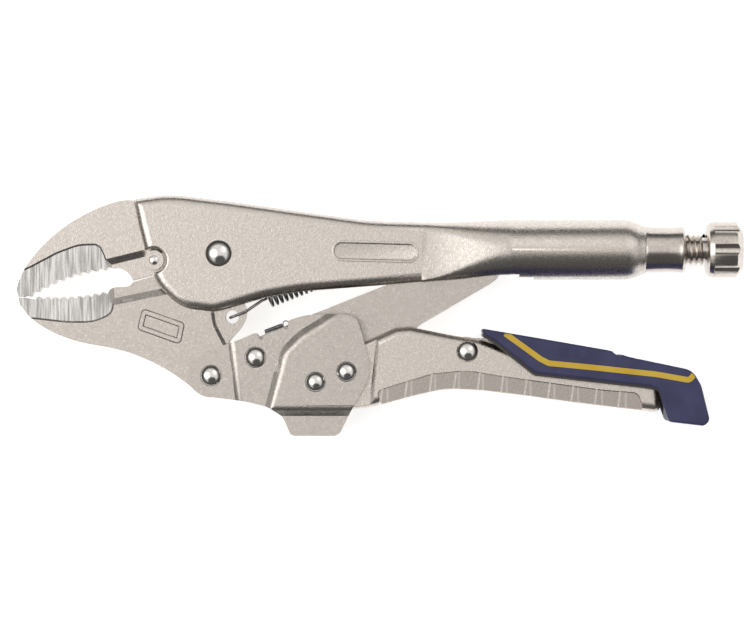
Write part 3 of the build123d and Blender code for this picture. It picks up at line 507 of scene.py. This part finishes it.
def rounding(piece, radius, segments):
    """Adds a Bevel modifier that rounds the edges sharper than SHARP."""
    bevel = piece.modifiers.new("worn_edges", "BEVEL")
    bevel.limit_method = "ANGLE"
    bevel.angle_limit = SHARP
    bevel.width = radius
    bevel.segments = segments


def soften(node, radius):
    """Rounds the sharp edges of a CAD part by radius, with live modifiers."""
    weld = node.modifiers.new("weld", "WELD")
    weld.merge_threshold = SAME_POINT
    rounding(node, radius, 2)


EDGE_RADII = {
    "upper_handle": 0.25, "control_frame": 0.30, "lower_handle": 0.30, "toggle_link": 0.30,
    "fixed_jaw": 0.22, "lower_jaw": 0.22, "release_lever": 0.30, "screw_bush": 0.20,
}
for name, radius in EDGE_RADII.items():
    soften(NODES[name], radius * MM)
print("softened parts:", len(EDGE_RADII))

# %% Modelling helpers
def alone(piece):
    """Makes a piece the only selected and the active one."""
    bpy.ops.object.select_all(action="DESELECT")
    piece.select_set(True)
    bpy.context.view_layer.objects.active = piece


def settle(piece, name, slot, body=None):
    """Ends a piece: its place goes into its mesh, and it gets its name, finish, slot and body.

    A piece between two bodies has no body of its own.
    """
    alone(piece)
    bpy.ops.object.transform_apply(location=True, rotation=True, scale=True)
    piece.name = name
    piece.data.name = name
    piece.data.materials.clear()
    piece.data.materials.append(FINISHES[slot])
    if body:
        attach(piece, body)
    print(name, "faces:", len(piece.data.polygons))
    return piece


def apply_all(piece):
    """Applies every modifier of a piece, top to bottom."""
    alone(piece)
    for modifier in list(piece.modifiers):
        bpy.ops.object.modifier_apply(modifier=modifier.name)


def edit_with(piece, kind, wanted):
    """Opens a piece for editing with only those edges or faces selected that pass a test."""
    alone(piece)
    bpy.ops.object.mode_set(mode="EDIT")
    bpy.ops.mesh.select_mode(type=kind)
    bpy.ops.mesh.select_all(action="DESELECT")
    bpy.ops.object.mode_set(mode="OBJECT")
    for element in piece.data.edges if kind == "EDGE" else piece.data.polygons:
        element.select = wanted(element)
    bpy.ops.object.mode_set(mode="EDIT")


def joined(pieces):
    """Joins meshes into the first one."""
    bpy.ops.object.select_all(action="DESELECT")
    for piece in pieces:
        piece.select_set(True)
    bpy.context.view_layer.objects.active = pieces[0]
    bpy.ops.object.join()
    return pieces[0]


# %% Wire helpers
OUT = Vector((0, 0, 1))     # square to the sides of the tool


def wire(points, radius):
    """A round wire through points, as a closed mesh."""
    curve = bpy.data.curves.new("wire", "CURVE")
    curve.dimensions = "3D"
    curve.bevel_depth = radius
    curve.bevel_resolution = 3
    curve.use_fill_caps = True
    spline = curve.splines.new("POLY")
    spline.points.add(len(points) - 1)
    for point, place in zip(spline.points, points):
        point.co = (*place, 1.0)
    piece = bpy.data.objects.new("wire", curve)
    bpy.context.scene.collection.objects.link(piece)
    alone(piece)
    bpy.ops.object.convert(target="MESH")
    bpy.ops.object.shade_smooth_by_angle(angle=math.radians(50))
    return bpy.context.active_object


def coil_points(start, stop, radius, turns, per_turn, first_angle=0.0):
    """Points of a helix of one radius between two places; angle 0 lies across the middle plane."""
    axis = (stop - start).normalized()
    side = axis.cross(OUT).normalized()
    points = []
    for step in range(int(turns * per_turn) + 1):
        angle = first_angle + 2 * math.pi * step / per_turn
        along = start + (stop - start) * (step / (turns * per_turn))
        points.append(along + (side * math.cos(angle) + OUT * math.sin(angle)) * radius)
    return points


# %% [markdown]
# ## The tension spring
# This spring pulls the lower jaw open. It is close-wound wire. A straight leg at its front runs over
# the tab of the lower jaw and down through the hole in it, and a hook at its rear holds on a tab
# inside the handle. A coil is easiest as a line of points on a helix with a round bevel, turned into
# a mesh. Its two ends belong to two bodies, so it is given no body of its own.

# %% Tension spring
SPRING_R = 3.0 * MM
SPRING_WIRE = 0.5 * MM
SPRING_PITCH = 1.8 * MM
STEPS_PER_TURN = 18
# The leg's points in millimetres from the hole: along the spring's axis, and out of the side.
LEG = [(-0.4, -3.0), (-0.6, 4.4), (-0.3, 5.1), (0.5, 5.4), (5.0, 5.4)]
LEAD_IN = (-1.6, 4.0)       # the same from the front of the coil
LEAD_OUT = (1.2, 2.2)       # and from its rear
HOOK_STEPS = 12
HOOK_SWEEP = 1.15 * math.pi
HOOK_R = 0.9 * MM
HOOK_REACH = 2.2 * MM
coil_front = at(16.3, -15.7)
coil_rear = at(56.2, -0.4)
jaw_hole = at(4.55, -21.94)
handle_hole = at(60.0, 1.0)
spring_axis = (coil_rear - coil_front).normalized()
turns = round((coil_rear - coil_front).length / SPRING_PITCH)

leg = [jaw_hole + (spring_axis * along + OUT * out) * MM for along, out in LEG]
leg.append(coil_front + (spring_axis * LEAD_IN[0] + OUT * LEAD_IN[1]) * MM)
coil = coil_points(coil_front, coil_rear, SPRING_R, turns, STEPS_PER_TURN, math.radians(90))
hook = [coil_rear + (spring_axis * LEAD_OUT[0] + OUT * LEAD_OUT[1]) * MM]
for step in range(HOOK_STEPS + 1):
    angle = HOOK_SWEEP * step / HOOK_STEPS
    hook.append(
        handle_hole + spring_axis * math.sin(angle) * HOOK_R + OUT * math.cos(angle) * HOOK_REACH
    )
spring = settle(wire(leg + coil + hook, SPRING_WIRE), "tension_spring_coil", "spring_steel")
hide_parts("tension_spring")
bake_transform(spring)

# %% [markdown]
# ## The return spring
# A hair-thin spring sits in a notch of the control frame and holds the toggle link down. Only a
# short dark coil and one loop of its end show. The wire helper of the other spring makes it too, and
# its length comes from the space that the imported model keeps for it.

# %% Return spring
RETURN_R = 0.55 * MM
RETURN_WIRE = 0.2 * MM
RETURN_TURNS = 14
RETURN_INSET = Vector((0.3, 0.7, 0)) * MM   # the coil's ends, in from the corners of its space
LOOP_R = 1.0 * MM
LOOP_AHEAD = 1.3 * MM
LOOP_ANGLES = [math.radians(200 - 20 * step) for step in range(15)]
return_low, return_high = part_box("return_spring")
return_start = return_low + RETURN_INSET
return_stop = return_high - RETURN_INSET
return_start.z = return_stop.z = (return_low.z + return_high.z) / 2
return_line = coil_points(return_start, return_stop, RETURN_R, RETURN_TURNS, 12)
loop_centre = return_stop + (return_stop - return_start).normalized() * LOOP_AHEAD
loop = [loop_centre + Vector((math.cos(a), math.sin(a), 0)) * LOOP_R for a in LOOP_ANGLES]
return_coil = settle(
    wire(return_line + loop, RETURN_WIRE), "return_spring_coil", "spring_steel", "lower_handle",
)
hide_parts("return_spring")

# %% [markdown]
# ## The adjusting screw
# The knob is turned and fluted, so the CAD shape is right but its edges are too sharp; the shank
# has a rolled 7/16 inch thread that the CAD part leaves plain. A copy of the CAD part is cut off
# behind the knob and its edges are rounded, and the thread is one tooth of the profile swept round
# the axis with the Screw modifier, whose lead is the pitch.

# %% Knob
screw_low, screw_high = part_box("adjusting_screw")
AXIS_Y = (screw_low.y + screw_high.y) / 2
AXIS_Z = (screw_low.z + screw_high.z) / 2
KNOB_FACE = at(168.5, 0).x
CUT = 0.01 * MM             # the shank is cut off this far inside the knob
KNOB_EDGE = 0.35 * MM

knob = NODES["adjusting_screw"].copy()
knob.data = knob.data.copy()
bpy.context.scene.collection.objects.link(knob)
knob.parent = None
alone(knob)
bpy.ops.object.mode_set(mode="EDIT")
bpy.ops.mesh.select_all(action="SELECT")
bpy.ops.mesh.remove_doubles(threshold=SAME_POINT)
bpy.ops.mesh.bisect(
    plane_co=(KNOB_FACE + CUT, AXIS_Y, AXIS_Z), plane_no=(1, 0, 0), clear_inner=True, use_fill=True,
)
bpy.ops.object.mode_set(mode="OBJECT")
rounding(knob, KNOB_EDGE, 3)
apply_all(knob)
print("knob faces:", len(knob.data.polygons))

# %% Thread
THREAD_R = 5.5 * MM
THREAD_DEEP = 1.15 * MM
PITCH = 1.814 * MM
THREAD_STEPS = 36
# One tooth: shares of the pitch along the axis, and shares of the depth.
TOOTH = [(0.0, 0.0), (0.36, 0.86), (0.44, 1.0), (0.56, 1.0), (0.64, 0.86), (1.0, 0.0)]
thread_turns = math.ceil((KNOB_FACE - screw_low.x) / PITCH)

bpy.ops.object.select_all(action="DESELECT")
bpy.ops.mesh.primitive_circle_add(vertices=len(TOOTH), radius=THREAD_DEEP, location=(0, 0, 0))
thread = bpy.context.active_object
for vertex, (share, rise) in zip(thread.data.vertices, TOOTH):
    vertex.co = (screw_low.x + share * PITCH, THREAD_R - THREAD_DEEP * (1.0 - rise), 0.0)
edit_with(thread, "EDGE", lambda edge: set(edge.vertices) == {0, len(TOOTH) - 1})
bpy.ops.mesh.delete(type="EDGE")
bpy.ops.object.mode_set(mode="OBJECT")
sweep = thread.modifiers.new("sweep", "SCREW")
sweep.axis = "X"
sweep.angle = 2 * math.pi
sweep.screw_offset = PITCH
sweep.iterations = thread_turns - 1
sweep.steps = sweep.render_steps = THREAD_STEPS
sweep.use_normal_calculate = True
apply_all(thread)
bpy.ops.object.mode_set(mode="EDIT")
bpy.ops.mesh.select_all(action="SELECT")
bpy.ops.mesh.remove_doubles(threshold=0.01 * MM)
bpy.ops.mesh.normals_make_consistent(inside=False)
bpy.ops.object.mode_set(mode="OBJECT")
thread.location = (0, AXIS_Y, AXIS_Z)
print("thread turns:", thread_turns, "faces:", len(thread.data.polygons))

# %% Core of the shank, and the whole screw
CORE_LAP = 0.04 * MM        # the core stands this far into the roots of the thread
CORE_INSET = 0.1 * MM
CORE_SUNK = 1.0 * MM        # into the knob
core_start = screw_low.x + CORE_INSET
core_stop = KNOB_FACE + CORE_SUNK
bpy.ops.object.select_all(action="DESELECT")
bpy.ops.mesh.primitive_cylinder_add(
    vertices=48, radius=THREAD_R - THREAD_DEEP + CORE_LAP, depth=core_stop - core_start,
    location=((core_start + core_stop) / 2, AXIS_Y, AXIS_Z), rotation=(0, math.pi / 2, 0),
)
core = bpy.context.active_object
screw_piece = settle(
    joined([knob, thread, core]), "fluted_screw", "turned_nickel", "adjusting_screw",
)
bpy.ops.object.shade_smooth_by_angle(angle=math.radians(35))
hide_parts("adjusting_screw")

# %% [markdown]
# ## The pressed plate
# A plain blank plate is pressed into the side of the handle: a long rounded outline, raised by a few
# tenths of a millimetre, with nothing on it. It starts as a flat bar. Its four upright edges are
# beveled until its ends are almost round, and its top is inset twice, the second time downwards,
# which leaves a rim.

# %% Blank plate on the handle
SIDE_LEVEL = 8.2 * MM       # side of the handle, from the middle plane
PLATE_CENTRE = at(54.0, 0.6)
PLATE_TURN = math.radians(-1.5)
PLATE_LENGTH = 30.0 * MM
PLATE_WIDTH = 7.2 * MM
PLATE_RISE = 0.35 * MM
END_SHARE = 0.48            # radius of the ends, as a share of the width
RIM_WIDTH = 0.75 * MM
RIM_SLOPE = 0.25 * MM
PANEL_SINK = 0.28 * MM
RIM_EDGE = 0.14 * MM

bpy.ops.object.select_all(action="DESELECT")
bpy.ops.mesh.primitive_cube_add(
    size=1.0, location=(0, 0, 0), scale=(PLATE_LENGTH, PLATE_WIDTH, 2 * PLATE_RISE),
)
plate = bpy.context.active_object
bpy.ops.object.transform_apply(location=True, rotation=True, scale=True)


def stands_up(edge):
    """Whether an edge of the plate runs from its underside to its top."""
    low, high = sorted(plate.data.vertices[index].co.z for index in edge.vertices)
    return high - low > PLATE_RISE


edit_with(plate, "EDGE", stands_up)
bpy.ops.mesh.bevel(offset=PLATE_WIDTH * END_SHARE, segments=10)
bpy.ops.object.mode_set(mode="OBJECT")
edit_with(plate, "FACE", lambda face: face.normal.z > 0.9)
bpy.ops.mesh.inset(thickness=RIM_WIDTH, depth=0.0)
bpy.ops.mesh.inset(thickness=RIM_SLOPE, depth=-PANEL_SINK)
bpy.ops.object.mode_set(mode="OBJECT")
rounding(plate, RIM_EDGE, 3)
apply_all(plate)
plate.location = (PLATE_CENTRE.x, PLATE_CENTRE.y, PIVOT.z + SIDE_LEVEL)
plate.rotation_euler = (0, 0, PLATE_TURN)
plate = settle(plate, "blank_plate", "satin_nickel", "upper_handle")
bpy.ops.object.shade_smooth_by_angle(angle=math.radians(40))
